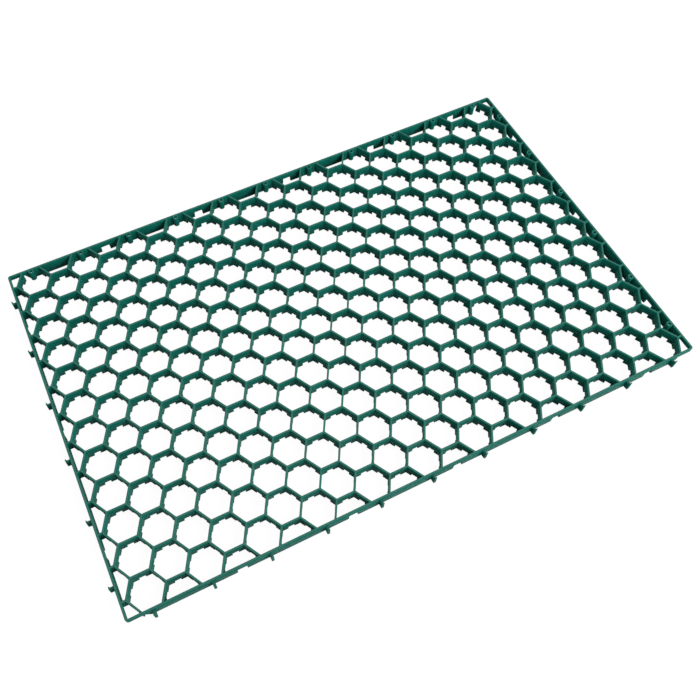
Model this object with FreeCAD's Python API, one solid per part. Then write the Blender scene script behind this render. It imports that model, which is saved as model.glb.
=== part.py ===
import FreeCAD, Part
import math
import os

# Grass paver grid: one moulded sheet, an open honeycomb held in a thin rectangular frame.
# Millimetres, +Z up. The sheet lies flat with its length along X; pegs stand out of its
# front (-Y) and left (-X) sides, and sockets sit inside its back (+Y) and right (+X) sides.
# The origin is on the floor, under the middle of the outline with its pegs.

# Honeycomb of regular hexagons, with flat sides to the front and the back
cell_columns = 21
cell_rows = 12
column_pitch = 53.9
wall_thickness = 3.7
sheet_depth = 30.0

# Castellated lower edge: a notch under each cell wall, its sides falling to the corner posts
notch_ceiling = 12.0
notch_height = 9.5

# Frame round the honeycomb, joined to the first and last column by short ties
frame_thickness = 4.0
tie_length = 10.0
frame_corner_radius = 5.0

# Drainage notches under the frame, narrower at their ceiling
drain_width = 19.0
drain_slope = 0.8
drain_height = 15.5
drain_columns = range(3, cell_columns, 4)
drain_gaps = range(1, cell_rows - 1, 4)

# Relief at each corner of the frame, where only its upper part is left
relief_length = 33.0
relief_slope = 9.0
relief_wall_depth = 12.0

# Sockets: upright bosses on the inner face of the frame, each with a round bore in its top
socket_radius = 6.0
socket_bore_radius = 3.2
socket_inset = 3.6
socket_bottom = 4.0

# Pegs: plates on the outer face of the frame, each with an upright tapered pin at its end
sheet_gap = 0.4
peg_width = 5.0
peg_root_bottom = 2.0
peg_knee = 4.0
peg_valley = 21.0
peg_top = 28.0
pin_thickness = 3.0
pin_tip_thickness = 1.8

# Room round the plate of a peg where it passes below the wall and the bore of the next sheet
arm_side_clearance = 0.8
arm_top_clearance = 1.0

# Cutters reach this far past the faces that they open
overshoot = 1.0

# Worked out from the values above
hexagon_side = column_pitch * 2 / 3
half_row = hexagon_side * math.sin(math.radians(60))
row_pitch = 2 * half_row
first_column_x = -column_pitch * (cell_columns - 1) / 2
frame_centre_x = -first_column_x + hexagon_side + tie_length
frame_centre_y = row_pitch * cell_rows / 2
half_wall = wall_thickness / 2
half_frame = frame_thickness / 2
outer_x = frame_centre_x + half_frame
outer_y = frame_centre_y + half_frame
inner_y = frame_centre_y - half_frame
post_distance = hexagon_side / 2 - half_wall / math.tan(math.radians(60))
peg_columns = range(0, cell_columns, 2)
peg_gaps = range(0, cell_rows - 1, 2)
pin_reach = sheet_gap + frame_thickness + socket_inset
peg_reach = pin_reach + pin_thickness / 2
arm_ceiling = peg_valley + arm_top_clearance


def column_x(column):
    """Middle of a column of cells."""
    return first_column_x + column_pitch * column


def tie_y(row):
    """Line of a tie, level with the middle of a cell in the first and last column."""
    return -frame_centre_y + row_pitch * (row + 0.5)


def gap_y(gap):
    """Middle of the gap between two neighbouring ties."""
    return (tie_y(gap) + tie_y(gap + 1)) / 2


def inset_wire(corners, insets):
    """Closed wire of a convex outline whose edges, taken anticlockwise, move inwards."""
    lines = []
    for index, start in enumerate(corners):
        end = corners[(index + 1) % len(corners)]
        length = math.hypot(end[0] - start[0], end[1] - start[1])
        along = ((end[0] - start[0]) / length, (end[1] - start[1]) / length)
        shift = (-along[1] * insets[index], along[0] * insets[index])
        lines.append(((start[0] + shift[0], start[1] + shift[1]), along))
    points = []
    for index, (place, along) in enumerate(lines):
        before_place, before_along = lines[index - 1]
        turn = before_along[0] * along[1] - before_along[1] * along[0]
        gap_x = place[0] - before_place[0]
        gap_along_y = place[1] - before_place[1]
        step = (gap_x * along[1] - gap_along_y * along[0]) / turn
        x = before_place[0] + step * before_along[0]
        y = before_place[1] + step * before_along[1]
        points.append(FreeCAD.Vector(x, y, 0))
    return Part.makePolygon(points + points[:1])


def hexagon_corners(x, y):
    """Corners of a cell on the middle lines of its walls, anticlockwise from the right."""
    return [
        (x + hexagon_side, y),
        (x + hexagon_side / 2, y + half_row),
        (x - hexagon_side / 2, y + half_row),
        (x - hexagon_side, y),
        (x - hexagon_side / 2, y - half_row),
        (x + hexagon_side / 2, y - half_row),
    ]


def turned(corners):
    """The same outline turned by half a turn about the middle of the sheet."""
    return [(-x, -y) for x, y in corners]


def mirrored(corners):
    """The same outline mirrored from front to back, still anticlockwise."""
    return [(x, -y) for x, y in reversed(corners)]


def full_cells():
    """Openings of the whole hexagons, and of those that the frame cuts at the end walls."""
    wires = []
    for column in range(cell_columns):
        x = column_x(column)
        if column % 2:
            rows = [-frame_centre_y + row_pitch * row for row in range(1, cell_rows)]
        else:
            rows = [tie_y(row) for row in range(cell_rows)]
        for y in rows:
            insets = [half_wall] * 6
            if y - half_row < -frame_centre_y + half_wall:
                insets[4] = half_frame
            if y + half_row > frame_centre_y - half_wall:
                insets[1] = half_frame
            wires.append(inset_wire(hexagon_corners(x, y), insets))
    return wires


def edge_openings():
    """Half cells along the front and back, gaps beside the ties, and the four corners."""
    wires = []
    for column in range(1, cell_columns, 2):
        x = column_x(column)
        front = -frame_centre_y
        half_cell = [
            (x - hexagon_side, front),
            (x + hexagon_side, front),
            (x + hexagon_side / 2, front + half_row),
            (x - hexagon_side / 2, front + half_row),
        ]
        wires.append(inset_wire(half_cell, [half_frame, half_wall, half_wall, half_wall]))
        wires.append(inset_wire(turned(half_cell), [half_frame, half_wall, half_wall, half_wall]))
    tie_end_x = first_column_x - hexagon_side
    wall_end_x = first_column_x - hexagon_side / 2
    for gap in range(cell_rows - 1):
        lower, upper = tie_y(gap), tie_y(gap + 1)
        beside_ties = [
            (-frame_centre_x, lower),
            (tie_end_x, lower),
            (wall_end_x, gap_y(gap)),
            (tie_end_x, upper),
            (-frame_centre_x, upper),
        ]
        insets = [half_wall, half_wall, half_wall, half_wall, half_frame]
        wires.append(inset_wire(beside_ties, insets))
        wires.append(inset_wire(turned(beside_ties), insets))
    corner = [
        (-frame_centre_x, -frame_centre_y),
        (wall_end_x, -frame_centre_y),
        (tie_end_x, tie_y(0)),
        (-frame_centre_x, tie_y(0)),
    ]
    corner_insets = [half_frame, half_wall, half_wall, half_frame]
    mirrored_insets = [half_wall, half_wall, half_frame, half_frame]
    wires.append(inset_wire(corner, corner_insets))
    wires.append(inset_wire(turned(corner), corner_insets))
    wires.append(inset_wire(mirrored(corner), mirrored_insets))
    wires.append(inset_wire(turned(mirrored(corner)), mirrored_insets))
    return wires


def plain_sheet():
    """The frame and the honeycomb at full depth, before anything is cut from below."""
    block = Part.makeBox(2 * outer_x, 2 * outer_y, sheet_depth, FreeCAD.Vector(-outer_x, -outer_y, 0))
    corners = [edge for edge in block.Edges if abs(edge.tangentAt(edge.FirstParameter).z) > 0.5]
    block = block.makeFillet(frame_corner_radius, corners)
    floor_face = [face for face in block.Faces if abs(face.CenterOfMass.z) < 0.01][0]
    wires = [floor_face.OuterWire] + full_cells() + edge_openings()
    plan = Part.makeFace(Part.makeCompound(wires), "Part::FaceMakerBullseye")
    return plan.extrude(FreeCAD.Vector(0, 0, sheet_depth))


def notch_side(place):
    """How far a notch reaches along the floor towards the wall end at a place."""
    if abs(place[1]) > frame_centre_y - half_wall:
        return notch_ceiling / 2
    return post_distance


def wall_notch(start, end):
    """Cutter for the notch under one cell wall; its side is upright next to the frame."""
    ceiling = notch_ceiling / 2
    deeper = 1 + overshoot / notch_height
    left = ceiling + (notch_side(start) - ceiling) * deeper
    right = ceiling + (notch_side(end) - ceiling) * deeper
    reach = half_wall + overshoot
    points = [
        FreeCAD.Vector(-left, -reach, -overshoot),
        FreeCAD.Vector(right, -reach, -overshoot),
        FreeCAD.Vector(ceiling, -reach, notch_height),
        FreeCAD.Vector(-ceiling, -reach, notch_height),
    ]
    face = Part.Face(Part.makePolygon(points + points[:1]))
    cutter = face.extrude(FreeCAD.Vector(0, 2 * reach, 0))
    angle = math.degrees(math.atan2(end[1] - start[1], end[0] - start[0]))
    return moved(cutter, angle, ((start[0] + end[0]) / 2, (start[1] + end[1]) / 2, 0))


def wall_notches():
    """Notches of all cell walls; every sloping wall belongs to one cell of an even column."""
    cutters = []
    for column in range(cell_columns):
        for row in range(cell_rows):
            if column % 2:
                corners = hexagon_corners(column_x(column), tie_y(row) - half_row)
                cutters.append(wall_notch(corners[1], corners[2]))
                continue
            corners = hexagon_corners(column_x(column), tie_y(row))
            for first in (0, 2, 3, 5):
                cutters.append(wall_notch(corners[first], corners[(first + 1) % 6]))
            if row < cell_rows - 1:
                cutters.append(wall_notch(corners[1], corners[2]))
    return cutters


def frame_cutter(profile, inwards=0):
    """Cutter across the front frame wall from (x, z) places, and some way past the wall."""
    points = [FreeCAD.Vector(x, -outer_y - overshoot, z) for x, z in profile]
    face = Part.Face(Part.makePolygon(points + points[:1]))
    return face.extrude(FreeCAD.Vector(0, overshoot + frame_thickness + inwards, 0))


def moved(shape, turn, place):
    """A copy of a shape, turned about Z and then moved."""
    copy = shape.copy()
    copy.rotate(FreeCAD.Vector(0, 0, 0), FreeCAD.Vector(0, 0, 1), turn)
    copy.translate(FreeCAD.Vector(*place))
    return copy


def drain_notches():
    """Notches under the middle of some half cells, and beside some of the ties."""
    floor = drain_width / 2
    ceiling = floor - drain_slope
    profile = [
        (-floor, -overshoot),
        (floor, -overshoot),
        (floor, 0),
        (ceiling, drain_height),
        (-ceiling, drain_height),
        (-floor, 0),
    ]
    cutter = frame_cutter(profile)
    side_shift = outer_x - outer_y
    cutters = []
    for column in drain_columns:
        cutters.append(moved(cutter, 0, (column_x(column), 0, 0)))
        cutters.append(moved(cutter, 180, (column_x(column), 0, 0)))
    for gap in drain_gaps:
        cutters.append(moved(cutter, 90, (side_shift, gap_y(gap), 0)))
        cutters.append(moved(cutter, -90, (-side_shift, gap_y(gap), 0)))
    return cutters


def corner_reliefs():
    """Cutters that leave only the upper part of the frame next to its corners."""
    ceiling = sheet_depth - relief_wall_depth
    cutters = []
    for half_length, turns in ((outer_x, (0, 180)), (outer_y, (90, -90))):
        far = half_length + overshoot
        near = half_length - relief_length
        profile = [
            (far, -overshoot),
            (far, ceiling),
            (near, ceiling),
            (near - relief_slope, 0),
            (near - relief_slope, -overshoot),
        ]
        right = frame_cutter(profile)
        left = frame_cutter([(-x, z) for x, z in profile])
        shift = 0 if half_length == outer_x else outer_x - outer_y
        for turn in turns:
            side = (shift if turn == 90 else -shift, 0, 0)
            cutters.append(moved(right, turn, side))
            cutters.append(moved(left, turn, side))
    return cutters


def peg():
    """Plate with its tapered pin, on the front frame wall at X = 0."""
    root_y = -outer_y + half_frame
    pin_y = -outer_y - pin_reach
    profile = [
        (root_y, peg_root_bottom),
        (-outer_y, peg_root_bottom),
        (pin_y - pin_thickness / 2, peg_knee),
        (pin_y - pin_tip_thickness / 2, peg_top),
        (pin_y + pin_tip_thickness / 2, peg_top),
        (pin_y + pin_thickness / 2, peg_valley),
        (root_y, peg_valley),
    ]
    points = [FreeCAD.Vector(-peg_width / 2, y, z) for y, z in profile]
    return Part.Face(Part.makePolygon(points + points[:1])).extrude(FreeCAD.Vector(peg_width, 0, 0))


def socket_parts():
    """Boss, bore and way in for the plate of a peg, on the front frame wall at X = 0."""
    axis_y = -inner_y + socket_inset
    back_y = -frame_centre_y
    flat = socket_radius * math.tan(math.radians(22.5))
    plan = [
        (-socket_radius, back_y),
        (socket_radius, back_y),
        (socket_radius, axis_y + flat),
        (flat, axis_y + socket_radius),
        (-flat, axis_y + socket_radius),
        (-socket_radius, axis_y + flat),
    ]
    points = [FreeCAD.Vector(x, y, socket_bottom) for x, y in plan]
    height = sheet_depth - socket_bottom
    boss = Part.Face(Part.makePolygon(points + points[:1])).extrude(FreeCAD.Vector(0, 0, height))
    bore = Part.makeCylinder(socket_bore_radius, sheet_depth + overshoot, FreeCAD.Vector(0, axis_y, 0))
    half_way = peg_width / 2 + arm_side_clearance
    profile = [
        (-half_way, -overshoot),
        (half_way, -overshoot),
        (half_way, arm_ceiling),
        (-half_way, arm_ceiling),
    ]
    past_bore = socket_inset + socket_bore_radius + arm_side_clearance
    return boss, bore, frame_cutter(profile, past_bore)


def on_pegged_sides(shape):
    """Copies of a shape at every peg of the front and left sides."""
    side_shift = outer_y - outer_x
    copies = [moved(shape, 0, (column_x(column), 0, 0)) for column in peg_columns]
    copies += [moved(shape, -90, (side_shift, gap_y(gap), 0)) for gap in peg_gaps]
    return copies


def on_socket_sides(shape):
    """Copies of a shape at every socket of the back and right sides."""
    side_shift = outer_x - outer_y
    copies = [moved(shape, 180, (column_x(column), 0, 0)) for column in peg_columns]
    copies += [moved(shape, 90, (side_shift, gap_y(gap), 0)) for gap in peg_gaps]
    return copies


boss, bore, arm_way = socket_parts()
sheet = plain_sheet().fuse(on_socket_sides(boss) + on_pegged_sides(peg())).removeSplitter()
sheet = sheet.cut(drain_notches() + corner_reliefs())
sheet = sheet.cut(on_socket_sides(arm_way) + on_socket_sides(bore))
sheet = sheet.cut(wall_notches())
sheet.translate(FreeCAD.Vector(peg_reach / 2, peg_reach / 2, 0))

os.makedirs("parts", exist_ok=True)
sheet.exportStep("parts/paver_grid.step")
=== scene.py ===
import math
from types import SimpleNamespace

import bmesh
import bpy
from mathutils import Matrix, Vector


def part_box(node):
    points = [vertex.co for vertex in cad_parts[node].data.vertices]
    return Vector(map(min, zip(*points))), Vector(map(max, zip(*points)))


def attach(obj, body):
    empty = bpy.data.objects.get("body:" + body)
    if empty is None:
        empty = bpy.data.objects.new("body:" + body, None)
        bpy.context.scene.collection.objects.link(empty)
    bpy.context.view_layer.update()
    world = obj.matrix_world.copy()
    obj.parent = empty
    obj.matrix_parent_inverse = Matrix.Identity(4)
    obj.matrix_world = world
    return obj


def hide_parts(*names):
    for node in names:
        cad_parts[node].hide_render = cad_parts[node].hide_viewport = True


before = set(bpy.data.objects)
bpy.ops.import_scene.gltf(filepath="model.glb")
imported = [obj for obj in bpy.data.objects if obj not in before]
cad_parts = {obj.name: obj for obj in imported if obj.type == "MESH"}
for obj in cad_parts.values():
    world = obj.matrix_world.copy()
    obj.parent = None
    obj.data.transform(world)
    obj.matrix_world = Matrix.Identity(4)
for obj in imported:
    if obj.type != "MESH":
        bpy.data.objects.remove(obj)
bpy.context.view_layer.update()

bl_info = {
    "name": "Grass paver grid",
    "version": (1, 0, 0),
    "blender": (4, 5, 0),
    "location": "3D View > Sidebar > Paver",
    "description": "Builds a moulded honeycomb ground grid with its frame, pegs and sockets",
    "category": "Add Mesh",
}

NODE = "paver_grid"
BODY = "root"

# Upper faces of the walls and sockets lie this far below the frame's, so that none coincide.
WALL_SUNK = 0.1
SOCKET_SUNK = 0.05
# Pegs start this far outside the middle of the frame wall.
PEG_ROOT = 0.5


def mm(value):
    """Millimetres as scene units."""
    return value / 1000


def linear(hex_colour):
    """An sRGB hex colour as linear red, green and blue."""
    values = [int(hex_colour[k : k + 2], 16) / 255 for k in (1, 3, 5)]
    return tuple(v / 12.92 if v <= 0.04045 else ((v + 0.055) / 1.055) ** 2.4 for v in values)


def length(name, description, millimetres):
    """A size of the sheet as a property."""
    return bpy.props.FloatProperty(
        name=name, description=description, default=mm(millimetres), min=0.0, unit="LENGTH", precision=5
    )


def colour(name, description, hex_colour):
    """A colour of the sheet or the stage as a property."""
    return bpy.props.FloatVectorProperty(
        name=name,
        description=description,
        default=linear(hex_colour),
        min=0.0,
        max=1.0,
        subtype="COLOR",
        size=3,
    )


class PaverSizes(bpy.types.PropertyGroup):
    """Sizes of the moulded sheet"""

    columns: bpy.props.IntProperty(
        name="Columns", description="Columns of cells, an odd number", default=21, min=3
    )
    rows: bpy.props.IntProperty(
        name="Rows", description="Whole cells in the first column", default=12, min=2
    )
    column_pitch: length("Column pitch", "From one column's middle to the next", 53.9)
    wall: length("Wall", "Thickness of a cell wall", 3.7)
    notch_width: length("Notch width", "Width of the notch under each cell wall", 12.0)
    notch_height: length("Notch height", "Height of the notch under each cell wall", 9.5)
    edge_round: length("Edge rounding", "Radius of the upper edges", 0.8)
    foot_round: length("Foot rounding", "Bevel of the lower edges", 0.35)
    frame_wall: length("Frame wall", "Thickness of the frame", 4.0)
    frame_corner: length("Frame corner", "Outer radius of the frame's corners", 5.0)
    tie: length("Tie", "From the outermost cell corner to the middle of the frame wall", 10.0)
    drain_width: length("Drain width", "Width of a drainage notch at the floor", 19.0)
    drain_slope: length("Drain slope", "How far each side of a drainage notch leans in", 0.8)
    drain_height: length("Drain height", "Height of a drainage notch under the frame", 15.5)
    relief_length: length("Relief length", "Shallow part of the frame next to a corner", 33.0)
    relief_slope: length("Relief slope", "Length of the slope from shallow to full depth", 9.0)
    relief_depth: length("Relief depth", "Depth of the frame next to a corner", 12.0)
    socket_radius: length("Socket radius", "Outside of a socket tube", 6.0)
    socket_bore: length("Socket bore", "Radius of the hole in a socket", 3.2)
    socket_inset: length("Socket inset", "From the frame's inner face to a socket's axis", 3.6)
    socket_bottom: length("Socket bottom", "Height of a socket's lower end", 4.0)
    sheet_gap: length("Sheet gap", "Gap between two joined sheets", 0.4)
    peg_width: length("Peg width", "Width of a peg along the frame", 5.0)
    peg_root: length("Peg root", "Height of a peg's lower end at the frame", 2.0)
    peg_knee: length("Peg knee", "Height of a peg's lower outer corner", 4.0)
    peg_valley: length("Peg valley", "Height of the plate between frame and pin", 21.0)
    peg_top: length("Peg top", "Height of the pin's tip", 28.0)
    pin_foot: length("Pin foot", "Thickness of the pin at its foot", 3.0)
    pin_tip: length("Pin tip", "Thickness of the pin at its tip", 1.8)
    arm_side: length("Arm side room", "Room beside a peg's arm below the next sheet", 0.8)
    arm_top: length("Arm top room", "Room above a peg's arm below the next sheet", 1.0)


class PaverFinish(bpy.types.PropertyGroup):
    """Colours of the plastic and the stage"""

    plastic: colour("Plastic", "Main green of the moulding", "#0F6558")
    plastic_pale: colour("Plastic, pale", "Paler flow streaks and handling marks", "#1A7266")
    plastic_deep: colour("Plastic, deep", "Deeper patches of the moulding", "#0A574B")
    # Painted sheen: upward faces are mixed towards this grey-green to stand in for the sheen of light on the
    # tops.
    plastic_painted_sheen: colour("Plastic, rubbed", "Upper edges, greyed where stacked sheets rub", "#30594F")
    floor: colour("Floor", "Paper that the sheet lies on", "#FFFFFF")


class PaverView(bpy.types.PropertyGroup):
    """Camera at the photographed angle"""

    place: bpy.props.FloatVectorProperty(
        name="Place",
        description="Where the camera stands",
        default=(-0.40437, -0.70296, 1.44016),
        subtype="TRANSLATION",
    )
    turn: bpy.props.FloatVectorProperty(
        name="Turn",
        description="How the camera is turned",
        default=[math.radians(v) for v in (30.8378, 0.6021, -25.4153)],
        subtype="EULER",
    )
    lens: bpy.props.FloatProperty(
        name="Lens", description="Focal length in millimetres", default=41.384, unit="CAMERA"
    )
    shift: bpy.props.FloatVectorProperty(
        name="Shift", description="Shift that the photo's framing needs", default=(0.07143, -0.07143), size=2
    )


def laid_out():
    """Places and counts that follow from the sizes, in the sheet's own frame."""
    sizes = bpy.context.scene.paver_sizes
    low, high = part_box(NODE)
    side = sizes.column_pitch * 2 / 3
    row_pitch = side * math.sqrt(3)
    frame_x = sizes.column_pitch * (sizes.columns - 1) / 2 + side + sizes.tie
    frame_y = row_pitch * sizes.rows / 2
    half_frame = sizes.frame_wall / 2
    return SimpleNamespace(
        sizes=sizes,
        side=side,
        row_pitch=row_pitch,
        half_wall=sizes.wall / 2,
        half_frame=half_frame,
        frame_x=frame_x,
        frame_y=frame_y,
        depth=high.z - low.z,
        centre=Vector((high.x - frame_x - half_frame, high.y - frame_y - half_frame, low.z)),
        even_columns=(sizes.columns + 1) // 2,
        gaps=sizes.rows // 2,
        pin_reach=sizes.sheet_gap + sizes.frame_wall + sizes.socket_inset,
        arm_ceiling=sizes.peg_valley + sizes.arm_top,
        arm_half=sizes.peg_width / 2 + sizes.arm_side,
    )


def add_node(tree, kind, inputs=None, **settings):
    """Adds one node; inputs maps a socket to a value or to another node's output."""
    node = tree.nodes.new(kind)
    for name, value in settings.items():
        setattr(node, name, value)
    for socket, value in (inputs or {}).items():
        if isinstance(value, bpy.types.NodeSocket):
            tree.links.new(value, node.inputs[socket])
        else:
            node.inputs[socket].default_value = value
    return node


def moulded_plastic():
    """Injection-moulded HDPE, dyed through: a satin skin with a waxy sheen.

    The eye sees a deep blue-green, faint cloudy flow marks some centimetres long and a soft uneven
    gloss from the slightly rippled mould faces; upward faces carry a painted sheen, paler and greyer.
    """
    name = "injection-moulded HDPE"
    found = bpy.data.materials.get(name)
    if found:
        return found
    finish = bpy.context.scene.paver_finish
    material = bpy.data.materials.new(name)
    material.use_nodes = True
    tree = material.node_tree
    tree.nodes.clear()
    where = add_node(tree, "ShaderNodeTexCoord").outputs["Object"]
    # Flow marks are about 45 mm long and handling marks about 6 mm.
    flow = add_node(
        tree, "ShaderNodeTexNoise", {"Vector": where, "Scale": 1 / mm(45), "Detail": 4.0, "Roughness": 0.6}
    )
    marks = add_node(
        tree, "ShaderNodeTexNoise", {"Vector": where, "Scale": 1 / mm(6), "Detail": 3.0, "Roughness": 0.65}
    )
    tones = add_node(tree, "ShaderNodeValToRGB", {"Fac": flow.outputs["Fac"]})
    ramp = tones.color_ramp
    ramp.elements[0].position, ramp.elements[0].color = 0.36, (*finish.plastic_deep, 1)
    ramp.elements[1].position, ramp.elements[1].color = 0.64, (*finish.plastic, 1)
    pale_share = add_node(
        tree,
        "ShaderNodeMapRange",
        {"Value": marks.outputs["Fac"], "From Min": 0.5, "From Max": 0.72, "To Min": 0.0, "To Max": 0.6},
    )
    skin = add_node(
        tree,
        "ShaderNodeMix",
        {"Factor": pale_share.outputs["Result"], 6: tones.outputs["Color"], 7: (*finish.plastic_pale, 1)},
        data_type="RGBA",
    )
    # Painted sheen: faces that look up are painted paler and greyer, and not evenly.
    normal = add_node(tree, "ShaderNodeNewGeometry").outputs["Normal"]
    facing = add_node(tree, "ShaderNodeSeparateXYZ", {0: normal})
    upward = add_node(
        tree,
        "ShaderNodeMapRange",
        {"Value": facing.outputs["Z"], "From Min": 0.6, "From Max": 0.95, "To Min": 0.0, "To Max": 1.0},
    )
    uneven = add_node(
        tree,
        "ShaderNodeMapRange",
        {"Value": flow.outputs["Fac"], "From Min": 0.35, "From Max": 0.65, "To Min": 0.6, "To Max": 1.0},
    )
    painted_sheen = add_node(
        tree,
        "ShaderNodeMath",
        {0: upward.outputs["Result"], 1: uneven.outputs["Result"]},
        operation="MULTIPLY",
    )
    # Mixes the painted sheen colour into the skin on upward faces.
    skin_with_painted_sheen = add_node(
        tree,
        "ShaderNodeMix",
        {"Factor": painted_sheen.outputs[0], 6: skin.outputs[2], 7: (*finish.plastic_painted_sheen, 1)},
        data_type="RGBA",
    )
    gloss = add_node(
        tree,
        "ShaderNodeMapRange",
        {"Value": marks.outputs["Fac"], "From Min": 0.3, "From Max": 0.7, "To Min": 0.42, "To Max": 0.6},
    )
    # The ripple of the mould faces is about 3 mm from crest to crest, drawn coarse enough to show.
    ripple = add_node(tree, "ShaderNodeTexNoise", {"Vector": where, "Scale": 1 / mm(3), "Detail": 2.0})
    bump = add_node(
        tree, "ShaderNodeBump", {"Height": ripple.outputs["Fac"], "Strength": 0.12, "Distance": mm(0.4)}
    )
    shader = add_node(
        tree,
        "ShaderNodeBsdfPrincipled",
        {
            "Base Color": skin_with_painted_sheen.outputs[2],
            "Roughness": gloss.outputs["Result"],
            "Normal": bump.outputs["Normal"],
            "IOR": 1.5,
            "Specular IOR Level": 0.02,
        },
    )
    add_node(tree, "ShaderNodeOutputMaterial", {"Surface": shader.outputs["BSDF"]})
    return material


def mesh_from(name, points, faces):
    """A mesh from points and faces that already point outwards."""
    mesh = bpy.data.meshes.new(name)
    mesh.from_pydata([tuple(p) for p in points], [], faces)
    mesh.validate()
    return mesh


def source_object(mesh):
    """An object that a node tree copies; it is removed once the copies are made."""
    return bpy.data.objects.new(mesh.name, mesh)


def smooth_rounds(mesh):
    """Smooth shading on rounded edges, flat on faces that meet at more than 50 degrees."""
    mesh.shade_smooth()
    mesh.set_sharp_from_angle(angle=math.radians(50))


def mitre(junction, along, beside, half_wall):
    """Corner of the opening between two walls that leave a junction in two directions."""
    turn = abs(along.x * beside.y - along.y * beside.x)
    return junction + (along + beside) * (half_wall / turn)


def wall_mesh(name, start, end, start_beside, end_beside, plan, notched=True):
    """One wall of the honeycomb with mitred open ends, rounded upper edges and its notch.

    start_beside and end_beside are the directions of the next walls on the left and the right,
    or nothing where the wall runs into the frame.
    """
    sizes = plan.sizes
    along = (end - start).normalized()
    left_way = Vector((-along.y, along.x))
    middle = (start + end) / 2
    top, rounding, foot = plan.depth - mm(WALL_SUNK), sizes.edge_round, sizes.foot_round
    slope = rounding * math.sin(math.radians(45))
    levels = [
        (foot, 0.0),
        (0.0, foot),
        (0.0, top - rounding),
        (rounding - slope, top - rounding + slope),
        (rounding, top),
    ]
    points, number = [], {}

    def put(key, flat, z):
        number[key] = len(points)
        points.append((flat.x, flat.y, z))

    wall_ends = (("A", start, along, start_beside), ("B", end, -along, end_beside))
    for end_name, junction, way, beside in wall_ends:
        for side_name, sign in (("L", 1), ("R", -1)):
            if beside is None:
                corner = junction + left_way * sign * plan.half_wall
            else:
                corner = mitre(junction, way, beside[0 if sign > 0 else 1], plan.half_wall)
            for level, (inset, z) in enumerate(levels):
                put((side_name + end_name, level), corner.lerp(junction, inset / plan.half_wall), z)
        put(("C" + end_name, "foot"), junction, 0.0)
        put(("C" + end_name, "top"), junction, top)
    last = len(levels) - 1
    if notched:
        half_notch = sizes.notch_width / 2
        for stop_name, place in (("lo", middle - along * half_notch), ("hi", middle + along * half_notch)):
            for side_name, sign in (("L", 1), ("R", -1)):
                face = place + left_way * sign * plan.half_wall
                inner = place + left_way * sign * (plan.half_wall - foot)
                put((side_name + stop_name, 0), inner, 0.0)
                put((side_name + stop_name, 1), face, foot)
                put((side_name + stop_name, "up"), face, sizes.notch_height)
    loops = []
    if notched:
        left_notch = [("Lhi", 1), ("Lhi", "up"), ("Llo", "up"), ("Llo", 1)]
        right_notch = [("Rlo", 1), ("Rlo", "up"), ("Rhi", "up"), ("Rhi", 1)]
        loops.append([("LA", 1), ("LA", 2), ("LB", 2), ("LB", 1), *left_notch])
        loops.append([("RA", 1), *right_notch, ("RB", 1), ("RB", 2), ("RA", 2)])
        for near, far in (("A", "lo"), ("hi", "B")):
            loops.append([("L" + near, 0), ("L" + near, 1), ("L" + far, 1), ("L" + far, 0)])
            loops.append([("R" + near, 0), ("R" + far, 0), ("R" + far, 1), ("R" + near, 1)])
        loops.append([("RA", 0), ("CA", "foot"), ("LA", 0), ("Llo", 0), ("Rlo", 0)])
        loops.append([("Rhi", 0), ("Lhi", 0), ("LB", 0), ("CB", "foot"), ("RB", 0)])
        loops.append([("Rlo", "up"), ("Llo", "up"), ("Lhi", "up"), ("Rhi", "up")])
        loops.append([("Rlo", 0), ("Llo", 0), ("Llo", 1), ("Llo", "up"), ("Rlo", "up"), ("Rlo", 1)])
        loops.append([("Rhi", 0), ("Rhi", 1), ("Rhi", "up"), ("Lhi", "up"), ("Lhi", 1), ("Lhi", 0)])
    else:
        loops.append([("LA", 0), ("LA", 1), ("LB", 1), ("LB", 0)])
        loops.append([("RA", 0), ("RB", 0), ("RB", 1), ("RA", 1)])
        loops.append([("LA", 1), ("LA", 2), ("LB", 2), ("LB", 1)])
        loops.append([("RA", 1), ("RB", 1), ("RB", 2), ("RA", 2)])
        loops.append([("RA", 0), ("CA", "foot"), ("LA", 0), ("LB", 0), ("CB", "foot"), ("RB", 0)])
    for level in range(2, last):
        loops.append([("LA", level), ("LA", level + 1), ("LB", level + 1), ("LB", level)])
        loops.append([("RA", level), ("RB", level), ("RB", level + 1), ("RA", level + 1)])
    loops.append([("RA", last), ("RB", last), ("CB", "top"), ("LB", last), ("LA", last), ("CA", "top")])
    return mesh_from(name, points, [[number[key] for key in loop] for loop in loops])


def honeycomb_walls(plan):
    """The five kinds of wall, each about the point that the node tree puts it on."""
    right, left = Vector((1, 0)), Vector((-1, 0))
    rise, fall = Vector((0.5, math.sqrt(0.75))), Vector((0.5, -math.sqrt(0.75)))
    half = plan.side / 2
    origin = Vector((0, 0))
    level = wall_mesh("level wall", left * half, right * half, (-fall, -rise), (rise, fall), plan)
    rising = wall_mesh("rising wall", -rise * half, rise * half, (left, fall), (-fall, right), plan)
    falling = wall_mesh("falling wall", -fall * half, fall * half, (rise, left), (right, -rise), plan)
    tie_left = wall_mesh("left tie", left * plan.sizes.tie, origin, None, (rise, fall), plan, False)
    tie_right = wall_mesh("right tie", origin, right * plan.sizes.tie, (-fall, -rise), None, plan, False)
    return {mesh.name: source_object(mesh) for mesh in (level, rising, falling, tie_left, tie_right)}


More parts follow.
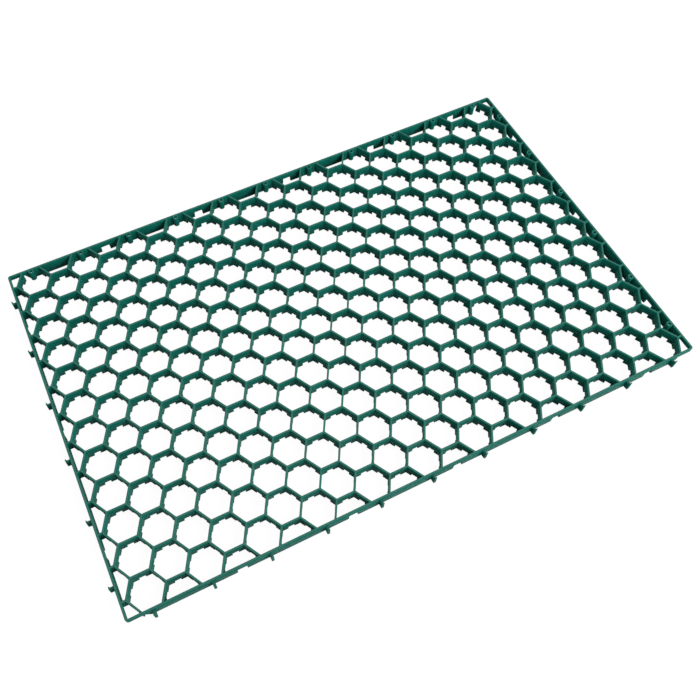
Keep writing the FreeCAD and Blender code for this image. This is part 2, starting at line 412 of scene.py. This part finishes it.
def rows_group():
    """Node group that copies one object onto columns and rows of places."""
    name = "rows of copies"
    found = bpy.data.node_groups.get(name)
    if found:
        return found
    tree = bpy.data.node_groups.new(name, "GeometryNodeTree")
    for socket, kind in (
        ("Copied", "NodeSocketObject"),
        ("Columns", "NodeSocketInt"),
        ("Rows", "NodeSocketInt"),
        ("First place", "NodeSocketVector"),
        ("Step", "NodeSocketVector"),
    ):
        tree.interface.new_socket(socket, in_out="INPUT", socket_type=kind)
    tree.interface.new_socket("Copies", in_out="OUTPUT", socket_type="NodeSocketGeometry")
    given = add_node(tree, "NodeGroupInput").outputs
    index = add_node(tree, "GeometryNodeInputIndex").outputs[0]
    count = add_node(tree, "ShaderNodeMath", {0: given["Columns"], 1: given["Rows"]}, operation="MULTIPLY")
    middle = add_node(tree, "ShaderNodeMath", {0: index, 1: 0.5}, operation="ADD")
    share = add_node(tree, "ShaderNodeMath", {0: middle.outputs[0], 1: given["Rows"]}, operation="DIVIDE")
    column = add_node(tree, "ShaderNodeMath", {0: share.outputs[0]}, operation="FLOOR")
    passed = add_node(tree, "ShaderNodeMath", {0: column.outputs[0], 1: given["Rows"]}, operation="MULTIPLY")
    row = add_node(tree, "ShaderNodeMath", {0: index, 1: passed.outputs[0]}, operation="SUBTRACT")
    counted = add_node(tree, "ShaderNodeCombineXYZ", {"X": column.outputs[0], "Y": row.outputs[0]})
    place = add_node(
        tree,
        "ShaderNodeVectorMath",
        {0: counted.outputs[0], 1: given["Step"], 2: given["First place"]},
        operation="MULTIPLY_ADD",
    )
    points = add_node(tree, "GeometryNodePoints", {"Count": count.outputs[0], "Position": place.outputs[0]})
    copied = add_node(tree, "GeometryNodeObjectInfo", {"Object": given["Copied"]})
    copies = add_node(
        tree,
        "GeometryNodeInstanceOnPoints",
        {"Points": points.outputs[0], "Instance": copied.outputs["Geometry"]},
    )
    add_node(tree, "NodeGroupOutput", {"Copies": copies.outputs[0]})
    return tree


def rows_tree(name, families):
    """Node tree that joins rows of copies into one mesh.

    Each family is (object, columns, rows, first place, step); places and steps are counted in
    pitches from the middle of the first cell.
    """
    tree = bpy.data.node_groups.new(name, "GeometryNodeTree")
    copied = sorted({family[0] for family in families})
    for socket in copied:
        tree.interface.new_socket(socket, in_out="INPUT", socket_type="NodeSocketObject")
    for socket, kind in (
        ("Column pitch", "NodeSocketFloat"),
        ("Row pitch", "NodeSocketFloat"),
        ("First cell", "NodeSocketVector"),
        ("Weld distance", "NodeSocketFloat"),
        ("Plastic", "NodeSocketMaterial"),
    ):
        tree.interface.new_socket(socket, in_out="INPUT", socket_type=kind)
    tree.interface.new_socket("Mesh", in_out="OUTPUT", socket_type="NodeSocketGeometry")
    given = add_node(tree, "NodeGroupInput").outputs
    pitch = add_node(tree, "ShaderNodeCombineXYZ", {"X": given["Column pitch"], "Y": given["Row pitch"]})
    joined = add_node(tree, "GeometryNodeJoinGeometry")
    for thing, columns, rows, place, step in families:
        first = add_node(
            tree,
            "ShaderNodeVectorMath",
            {0: pitch.outputs[0], 1: (*place, 0.0), 2: given["First cell"]},
            operation="MULTIPLY_ADD",
        )
        stride = add_node(
            tree, "ShaderNodeVectorMath", {0: pitch.outputs[0], 1: (*step, 0.0)}, operation="MULTIPLY"
        )
        copies = add_node(
            tree,
            "GeometryNodeGroup",
            {
                "Copied": given[thing],
                "Columns": columns,
                "Rows": rows,
                "First place": first.outputs[0],
                "Step": stride.outputs[0],
            },
            node_tree=rows_group(),
        )
        tree.links.new(copies.outputs[0], joined.inputs[0])
    real = add_node(tree, "GeometryNodeRealizeInstances", {"Geometry": joined.outputs[0]})
    welded = add_node(
        tree, "GeometryNodeMergeByDistance", {"Geometry": real.outputs[0], "Distance": given["Weld distance"]}
    )
    dressed = add_node(
        tree, "GeometryNodeSetMaterial", {"Geometry": welded.outputs[0], "Material": given["Plastic"]}
    )
    add_node(tree, "NodeGroupOutput", {"Mesh": dressed.outputs[0]})
    return tree


def close_ends(mesh):
    """Closes the ends of the walls that stop inside the frame."""
    shape = bmesh.new()
    shape.from_mesh(mesh)
    bmesh.ops.holes_fill(shape, edges=shape.edges[:], sides=0)
    shape.to_mesh(mesh)
    shape.free()


def grown(name, families, sources, plan):
    """A plain mesh object from rows of copies of the source objects."""
    tree = rows_tree(name, families)
    piece = bpy.data.objects.new(name, bpy.data.meshes.new(name))
    bpy.context.scene.collection.objects.link(piece)
    modifier = piece.modifiers.new(name, "NODES")
    modifier.node_group = tree
    first_cell = plan.centre - Vector(
        (plan.sizes.column_pitch * (plan.even_columns - 1), plan.row_pitch * (plan.sizes.rows - 1) / 2, 0)
    )
    values = {
        "Column pitch": plan.sizes.column_pitch,
        "Row pitch": plan.row_pitch,
        "First cell": first_cell,
        "Weld distance": mm(0.02),
        "Plastic": moulded_plastic(),
        **sources,
    }
    for socket in tree.interface.items_tree:
        if socket.in_out == "INPUT":
            modifier[socket.identifier] = values[socket.name]
    bpy.context.view_layer.update()
    mesh = bpy.data.meshes.new_from_object(piece.evaluated_get(bpy.context.evaluated_depsgraph_get()))
    piece.modifiers.remove(modifier)
    piece.data = mesh
    mesh.name = name
    for source in sources.values():
        bpy.data.objects.remove(source)
    if not mesh.polygons:
        raise RuntimeError(f"{name} came out empty")
    close_ends(mesh)
    smooth_rounds(mesh)
    return piece


def finish_piece(piece, *replaced):
    """Ties a finished piece to the sheet's one body, and hides the solid that it stands for."""
    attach(piece, BODY)
    if replaced:
        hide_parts(*replaced)


class PAVER_OT_honeycomb(bpy.types.Operator):
    """Builds the honeycomb walls and the ties as one welded mesh"""

    bl_idname = "paver.honeycomb"
    bl_label = "Honeycomb"

    def execute(self, context):
        plan = laid_out()
        even, rows, columns = plan.even_columns, plan.sizes.rows, plan.sizes.columns
        step = (2, 1)
        families = [
            ("level wall", even, rows - 1, (0, 0.5), step),
            ("level wall", even - 1, rows, (1, 0), step),
            ("rising wall", even, rows, (-0.5, 0.25), step),
            ("rising wall", even, rows, (0.5, -0.25), step),
            ("falling wall", even, rows, (0.5, 0.25), step),
            ("falling wall", even, rows, (-0.5, -0.25), step),
            ("left tie", 1, rows, (-2 / 3, 0), step),
            ("right tie", 1, rows, (columns - 1 + 2 / 3, 0), step),
        ]
        finish_piece(grown("honeycomb", families, honeycomb_walls(plan), plan), NODE)
        return {"FINISHED"}


def frame_side(half_length, plan, drains, arm_ways):
    """Places along one frame wall, from left to right, with the height of its lower edge."""
    sizes = plan.sizes
    shallow = plan.depth - sizes.relief_depth
    near = half_length - sizes.relief_length
    places = [(near - sizes.relief_slope, 0.0), (near, shallow), (half_length - sizes.frame_corner, shallow)]
    stations = [(-along, z) for along, z in places] + places
    for middle in drains:
        half = sizes.drain_width / 2
        for sign in (-1, 1):
            stations.append((middle + sign * half, 0.0))
            stations.append((middle + sign * (half - sizes.drain_slope), sizes.drain_height))
    for middle in arm_ways:
        for sign in (-1, 1):
            stations.append((middle + sign * (plan.arm_half + mm(0.05)), 0.0))
            stations.append((middle + sign * plan.arm_half, plan.arm_ceiling))
    return sorted(stations)


def frame_mesh(plan):
    """The frame: one wall section swept round the sheet over its changing lower edge."""
    sizes = plan.sizes
    outer_x, outer_y = plan.frame_x + plan.half_frame, plan.frame_y + plan.half_frame
    first_x = -sizes.column_pitch * (sizes.columns - 1) / 2
    columns = [first_x + sizes.column_pitch * k for k in range(sizes.columns)]
    gaps = [plan.row_pitch * (k + 1) - plan.frame_y for k in range(sizes.rows - 1)]
    long_drains, short_drains = columns[3::4], gaps[1::4]
    sides = [
        (outer_x, outer_y, 0, long_drains, []),
        (outer_y, outer_x, 90, short_drains, gaps[0::2]),
        (outer_x, outer_y, 180, [-x for x in long_drains], [-x for x in columns[0::2]]),
        (outer_y, outer_x, 270, [-y for y in short_drains], []),
    ]
    shallow = plan.depth - sizes.relief_depth
    stations = []
    for half_length, away, turn, drains, arm_ways in sides:
        spin = Matrix.Rotation(math.radians(turn), 2)
        outwards = spin @ Vector((0, -1))
        for along, z in frame_side(half_length, plan, drains, arm_ways):
            stations.append((spin @ Vector((along, -away)), outwards, z))
        pivot = spin @ Vector((half_length - sizes.frame_corner, sizes.frame_corner - away))
        for share in range(1, 6):
            way = Matrix.Rotation(math.radians(15 * share), 2) @ outwards
            stations.append((pivot + way * sizes.frame_corner, way, shallow))
    rounding, foot = sizes.edge_round, sizes.foot_round
    slope = rounding * math.sin(math.radians(45))
    top, wall = plan.depth, sizes.frame_wall
    points, faces = [], []
    for place, outwards, bottom in stations:
        section = [
            (foot, bottom),
            (0.0, bottom + foot),
            (0.0, top - rounding),
            (rounding - slope, top - rounding + slope),
            (rounding, top),
            (wall - rounding, top),
            (wall - rounding + slope, top - rounding + slope),
            (wall, top - rounding),
            (wall, bottom + foot),
            (wall - foot, bottom),
        ]
        for inset, z in section:
            flat = place - outwards * inset
            points.append((flat.x + plan.centre.x, flat.y + plan.centre.y, z + plan.centre.z))
    ring = len(section)
    for station in range(len(stations)):
        after = (station + 1) % len(stations)
        for k in range(ring):
            n = (k + 1) % ring
            faces.append([station * ring + k, after * ring + k, after * ring + n, station * ring + n])
    return mesh_from("frame", points, faces)


class PAVER_OT_frame(bpy.types.Operator):
    """Builds the frame with its drainage notches, corner reliefs and ways in for the pegs"""

    bl_idname = "paver.frame"
    bl_label = "Frame"

    def execute(self, context):
        mesh = frame_mesh(laid_out())
        mesh.materials.append(moulded_plastic())
        smooth_rounds(mesh)
        piece = bpy.data.objects.new("frame", mesh)
        context.scene.collection.objects.link(piece)
        finish_piece(piece)
        return {"FINISHED"}


def socket_mesh(name, axis, outwards, plan):
    """A round socket tube, open below on the side that faces outwards so that a peg can pass."""
    sizes = plan.sizes
    top, rim, thin = plan.depth - mm(SOCKET_SUNK), mm(0.5), mm(0.3)
    steps = 32
    facing = math.atan2(outwards.y, outwards.x)
    way_half = math.asin(plan.arm_half / sizes.socket_radius)
    way_end = sizes.socket_bore + sizes.arm_side
    points, faces = [], []

    def sweep(angles, section_at, closed):
        start = len(points)
        for angle in angles:
            way = Vector((math.cos(facing + angle), math.sin(facing + angle)))
            section = section_at(angle)
            for radius, z in section:
                flat = axis + way * radius
                points.append((flat.x, flat.y, z))
        size = len(section)
        for k in range(len(angles) if closed else len(angles) - 1):
            a, b = start + k * size, start + (k + 1) % len(angles) * size
            for n in range(size):
                m = (n + 1) % size
                faces.append([a + n, b + n, b + m, a + m])
        if not closed:
            last = start + (len(angles) - 1) * size
            faces.append([start + n for n in range(size)])
            faces.append([last + n for n in reversed(range(size))])

    def ring_section(angle):
        return [
            (sizes.socket_radius, plan.arm_ceiling),
            (sizes.socket_radius, top - rim),
            (sizes.socket_radius - rim, top),
            (sizes.socket_bore + rim, top),
            (sizes.socket_bore, top - rim),
            (sizes.socket_bore, plan.arm_ceiling),
        ]

    def wall_section(angle):
        beside = plan.arm_half / max(abs(math.sin(angle)), 1e-6)
        beyond = way_end / max(-math.cos(angle), 1e-6)
        inner = min(beside, beyond, sizes.socket_radius - thin)
        return [
            (sizes.socket_radius, sizes.socket_bottom),
            (sizes.socket_radius, plan.arm_ceiling),
            (inner, plan.arm_ceiling),
            (inner, sizes.socket_bottom),
        ]

    sweep([2 * math.pi * k / steps for k in range(steps)], ring_section, True)
    reach = 2 * math.pi - 2 * way_half
    sweep([way_half + reach * k / steps for k in range(steps + 1)], wall_section, False)
    return mesh_from(name, points, faces)


class PAVER_OT_sockets(bpy.types.Operator):
    """Builds the socket tubes inside the back and right frame walls"""

    bl_idname = "paver.sockets"
    bl_label = "Sockets"

    def execute(self, context):
        plan = laid_out()
        inset = plan.half_frame + plan.sizes.socket_inset
        back = socket_mesh("back socket", Vector((0, -inset)), Vector((0, 1)), plan)
        right = socket_mesh("right socket", Vector((plan.sizes.tie - inset, 0)), Vector((1, 0)), plan)
        sources = {mesh.name: source_object(mesh) for mesh in (back, right)}
        families = [
            ("back socket", plan.even_columns, 1, (0, plan.sizes.rows - 0.5), (2, 1)),
            ("right socket", 1, plan.gaps, (plan.sizes.columns - 1 + 2 / 3, 0.5), (2, 2)),
        ]
        finish_piece(grown("sockets", families, sources, plan))
        return {"FINISHED"}


def peg_mesh(name, root, outwards, plan):
    """A peg with its tapered pin; root is on the middle line of the frame wall."""
    sizes = plan.sizes
    face, pin = plan.half_frame, plan.half_frame + plan.pin_reach
    profile = [
        (mm(PEG_ROOT), sizes.peg_root),
        (face, sizes.peg_root),
        (pin + sizes.pin_foot / 2, sizes.peg_knee),
        (pin + sizes.pin_tip / 2, sizes.peg_top),
        (pin - sizes.pin_tip / 2, sizes.peg_top),
        (pin - sizes.pin_foot / 2, sizes.peg_valley),
        (mm(PEG_ROOT), sizes.peg_valley),
    ]
    across = Vector((-outwards.y, outwards.x))
    shape = bmesh.new()
    sides = []
    for sign in (-1, 1):
        corners = []
        for out, z in profile:
            flat = root + outwards * out + across * sign * sizes.peg_width / 2
            corners.append(shape.verts.new((flat.x, flat.y, z)))
        sides.append(corners)
    shape.faces.new(sides[0])
    shape.faces.new(reversed(sides[1]))
    for k in range(len(profile)):
        n = (k + 1) % len(profile)
        shape.faces.new([sides[0][n], sides[0][k], sides[1][k], sides[1][n]])
    bmesh.ops.recalc_face_normals(shape, faces=shape.faces)
    bmesh.ops.bevel(shape, geom=shape.edges[:], offset=mm(0.35), segments=2, profile=0.5, affect="EDGES")
    mesh = bpy.data.meshes.new(name)
    shape.to_mesh(mesh)
    shape.free()
    return mesh


class PAVER_OT_pegs(bpy.types.Operator):
    """Builds the pegs on the front and left frame walls"""

    bl_idname = "paver.pegs"
    bl_label = "Pegs"

    def execute(self, context):
        plan = laid_out()
        front = peg_mesh("front peg", Vector((0, 0)), Vector((0, -1)), plan)
        left = peg_mesh("left peg", Vector((-plan.sizes.tie, 0)), Vector((-1, 0)), plan)
        sources = {mesh.name: source_object(mesh) for mesh in (front, left)}
        families = [
            ("front peg", plan.even_columns, 1, (0, -0.5), (2, 1)),
            ("left peg", 1, plan.gaps, (-2 / 3, 0.5), (2, 2)),
        ]
        finish_piece(grown("pegs", families, sources, plan))
        return {"FINISHED"}


def seen_rays(tree):
    """The camera's own rays, and the rays that show the stage in gloss or through glass."""
    path = add_node(tree, "ShaderNodeLightPath").outputs
    mirrored = add_node(
        tree,
        "ShaderNodeMath",
        {0: path["Is Glossy Ray"], 1: path["Is Transmission Ray"]},
        operation="MAXIMUM",
    )
    return path["Is Camera Ray"], mirrored.outputs[0]


def floor_paper():
    """White seamless paper: reads as plain white, with a faint shadow under the sheet."""
    finish = bpy.context.scene.paver_finish
    material = bpy.data.materials.new("white seamless paper")
    material.use_nodes = True
    tree = material.node_tree
    tree.nodes.clear()
    shaded = add_node(tree, "ShaderNodeBsdfDiffuse", {"Color": (*finish.floor, 1)})
    bright = add_node(tree, "ShaderNodeEmission", {"Color": (*finish.floor, 1), "Strength": 1.0})
    paper = add_node(tree, "ShaderNodeMixShader", {"Fac": 0.95, 1: shaded.outputs[0], 2: bright.outputs[0]})
    dull = add_node(tree, "ShaderNodeBsdfDiffuse", {"Color": (0.08, 0.08, 0.08, 1)})
    to_camera, mirrored = seen_rays(tree)
    beside = add_node(
        tree, "ShaderNodeMixShader", {"Fac": mirrored, 1: dull.outputs[0], 2: shaded.outputs[0]}
    )
    mixed = add_node(
        tree, "ShaderNodeMixShader", {"Fac": to_camera, 1: beside.outputs[0], 2: paper.outputs[0]}
    )
    add_node(tree, "ShaderNodeOutputMaterial", {"Surface": mixed.outputs[0]})
    return material


class PAVER_OT_stage(bpy.types.Operator):
    """Sets up the white floor, the studio light and the camera"""

    bl_idname = "paver.stage"
    bl_label = "Stage"

    def execute(self, context):
        scene = context.scene
        half, level = 6.0, mm(-0.3)
        corners = [(x, y, level) for x, y in ((-half, -half), (half, -half), (half, half), (-half, half))]
        mesh = mesh_from("floor", corners, [[0, 1, 2, 3]])
        mesh.materials.append(floor_paper())
        floor = bpy.data.objects.new("floor", mesh)
        scene.collection.objects.link(floor)

        world = bpy.data.worlds.new("white studio")
        world.use_nodes = True
        tree = world.node_tree
        tree.nodes.clear()
        seen = add_node(tree, "ShaderNodeBackground", {"Color": (1, 1, 1, 1), "Strength": 1.0})
        fill = add_node(tree, "ShaderNodeBackground", {"Color": (1, 1, 1, 1), "Strength": 0.48})
        to_camera, mirrored = seen_rays(tree)
        shown = add_node(tree, "ShaderNodeMath", {0: to_camera, 1: mirrored}, operation="MAXIMUM")
        mixed = add_node(
            tree, "ShaderNodeMixShader", {"Fac": shown.outputs[0], 1: fill.outputs[0], 2: seen.outputs[0]}
        )
        add_node(tree, "ShaderNodeOutputWorld", {"Surface": mixed.outputs[0]})
        scene.world = world

        for name, place, size, power in (
            ("key softbox", (1.4, -1.9, 2.4), 1.8, 122.0),
            ("top softbox", (-0.3, 0.7, 2.8), 2.2, 42.0),
        ):
            lamp = bpy.data.lights.new(name, "AREA")
            lamp.shape, lamp.size, lamp.energy = "DISK", size, power
            holder = bpy.data.objects.new(name, lamp)
            holder.location = place
            holder.rotation_euler = (-Vector(place)).to_track_quat("-Z", "Y").to_euler()
            scene.collection.objects.link(holder)

        view = scene.paver_view
        lens = bpy.data.cameras.new("camera")
        lens.sensor_fit, lens.sensor_width = "HORIZONTAL", 36.0
        lens.lens = view.lens
        lens.shift_x, lens.shift_y = view.shift
        lens.clip_start, lens.clip_end = 0.01, 50.0
        camera = bpy.data.objects.new("camera", lens)
        camera.location = view.place
        camera.rotation_euler = view.turn
        scene.collection.objects.link(camera)
        scene.camera = camera
        scene.view_settings.view_transform = "Standard"
        return {"FINISHED"}


class PAVER_PT_panel(bpy.types.Panel):
    """Lists the sheet's pieces"""

    bl_idname = "PAVER_PT_panel"
    bl_label = "Grass paver grid"
    bl_space_type = "VIEW_3D"
    bl_region_type = "UI"
    bl_category = "Paver"

    def draw(self, context):
        for operator in OPERATORS:
            self.layout.operator(operator.bl_idname)
        for group in (context.scene.paver_sizes, context.scene.paver_finish, context.scene.paver_view):
            box = self.layout.box()
            for name in group.__annotations__:
                box.prop(group, name)


OPERATORS = (PAVER_OT_honeycomb, PAVER_OT_frame, PAVER_OT_sockets, PAVER_OT_pegs, PAVER_OT_stage)
CLASSES = (PaverSizes, PaverFinish, PaverView, *OPERATORS, PAVER_PT_panel)


def register():
    for kind in CLASSES:
        bpy.utils.register_class(kind)
    bpy.types.Scene.paver_sizes = bpy.props.PointerProperty(type=PaverSizes)
    bpy.types.Scene.paver_finish = bpy.props.PointerProperty(type=PaverFinish)
    bpy.types.Scene.paver_view = bpy.props.PointerProperty(type=PaverView)


def unregister():
    del bpy.types.Scene.paver_view
    del bpy.types.Scene.paver_finish
    del bpy.types.Scene.paver_sizes
    for kind in reversed(CLASSES):
        bpy.utils.unregister_class(kind)


def main():
    register()
    bpy.ops.paver.honeycomb()
    bpy.ops.paver.frame()
    bpy.ops.paver.sockets()
    bpy.ops.paver.pegs()
    bpy.ops.paver.stage()


if __name__ == "__main__":
    main()
